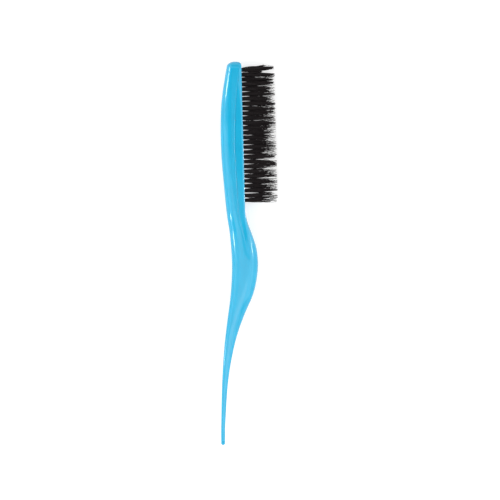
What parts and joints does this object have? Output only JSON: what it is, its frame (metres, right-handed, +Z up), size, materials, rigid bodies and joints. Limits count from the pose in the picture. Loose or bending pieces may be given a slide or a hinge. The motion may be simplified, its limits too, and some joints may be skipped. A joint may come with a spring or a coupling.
{
  "type": "teasing brush",
  "caption": "Slim back-combing hair brush with a narrow tufted bristle head, a curved moulded grip and a thin sectioning tail.",
  "frame": {"origin": "middle of the box that holds the brush, on the surface that the brush lies on", "axes": "+X the way the bristles point, +Y from the tail to the head, +Z up, across the width of the brush as it lies on its side"},
  "size_m": [0.0334, 0.2222, 0.014],
  "materials": {
    "body_plastic": "gloss, moulded, bright cyan blue",
    "bristle_nylon": "black nylon filament, satin",
    "anchor_steel": "flat drawn wire"
  },
  "bodies": {
    "root": {"brush_body": "body_plastic", "bristle_tufts_01": "bristle_nylon", "bristle_tufts_02": "bristle_nylon", "bristle_tufts_03": "bristle_nylon", "bristle_tufts_04": "bristle_nylon", "bristle_tufts_05": "bristle_nylon", "bristle_tufts_06": "bristle_nylon", "bristle_tufts_07": "bristle_nylon", "bristle_tufts_08": "bristle_nylon", "bristle_tufts_09": "bristle_nylon", "bristle_tufts_10": "bristle_nylon", "bristle_tufts_11": "bristle_nylon", "bristle_tufts_12": "bristle_nylon", "bristle_tufts_13": "bristle_nylon", "bristle_tufts_14": "bristle_nylon", "bristle_tufts_15": "bristle_nylon", "bristle_tufts_16": "bristle_nylon", "bristle_tufts_17": "bristle_nylon", "bristle_tufts_18": "bristle_nylon", "bristle_tufts_19": "bristle_nylon", "bristle_tufts_20": "bristle_nylon", "bristle_tufts_21": "bristle_nylon", "bristle_tufts_22": "bristle_nylon", "bristle_tufts_23": "bristle_nylon", "bristle_tufts_24": "bristle_nylon", "bristle_tufts_25": "bristle_nylon", "bristle_tufts_26": "bristle_nylon", "bristle_tufts_27": "bristle_nylon", "bristle_tufts_28": "bristle_nylon", "anchors_left": "anchor_steel", "anchors_centre": "anchor_steel", "anchors_right": "anchor_steel"}
  },
  "joints": []
}
